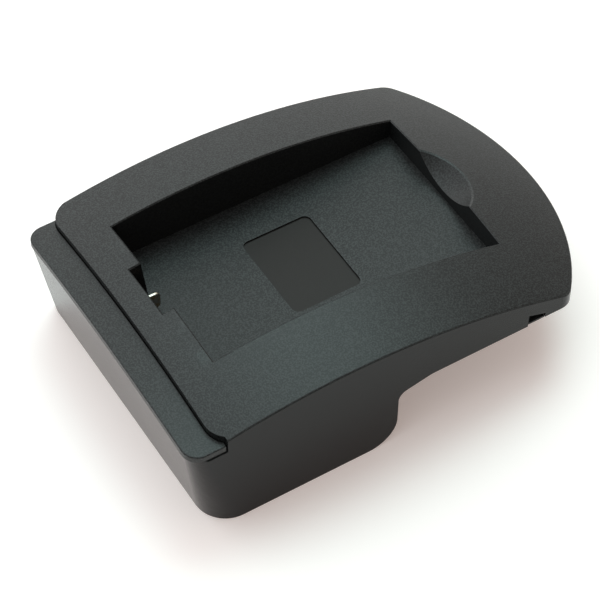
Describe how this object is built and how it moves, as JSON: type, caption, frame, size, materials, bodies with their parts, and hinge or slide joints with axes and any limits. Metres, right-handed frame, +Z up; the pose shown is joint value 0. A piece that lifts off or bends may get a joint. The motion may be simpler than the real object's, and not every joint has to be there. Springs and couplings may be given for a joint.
{
  "type": "camera battery charger",
  "caption": "Black moulded charging cradle for a camera battery: crowned top with a sunk tray and thumb scoop, contact blades in a notch, stepped underside that sits on a charger base.",
  "frame": {"origin": "on the table, under the middle of the cradle's length and width", "axes": "+X from the thick contact end to the thin nose, +Y across, away from the viewer's near long side, +Z up"},
  "size_m": [0.0936, 0.064, 0.0294],
  "materials": {
    "housing_plastic": "fine-grain black moulding",
    "end_cover_plastic": "fine-grain black moulding",
    "bottom_cover_plastic": "fine-grain black moulding",
    "carrier_plastic": "plain black moulding",
    "contact_metal": "nickel-washed spring brass",
    "lead_black": "insulated wire",
    "lead_red": "insulated wire",
    "board_laminate": "varnished laminate",
    "resistor_body": "chip resistors",
    "screw_steel": "zinc-plated steel"
  },
  "bodies": {
    "root": {"upper_housing": "housing_plastic", "end_cover": "end_cover_plastic", "bottom_cover": "bottom_cover_plastic", "contact_carrier": "carrier_plastic", "contact_negative": "contact_metal", "contact_positive": "contact_metal", "lead_negative": "lead_black", "lead_positive": "lead_red", "circuit_board": "board_laminate", "code_resistors": "resistor_body", "base_contact_negative": "contact_metal", "base_contact_positive": "contact_metal", "cover_screws": "screw_steel", "carrier_screws": "screw_steel", "board_screws": "screw_steel"}
  },
  "joints": []
}
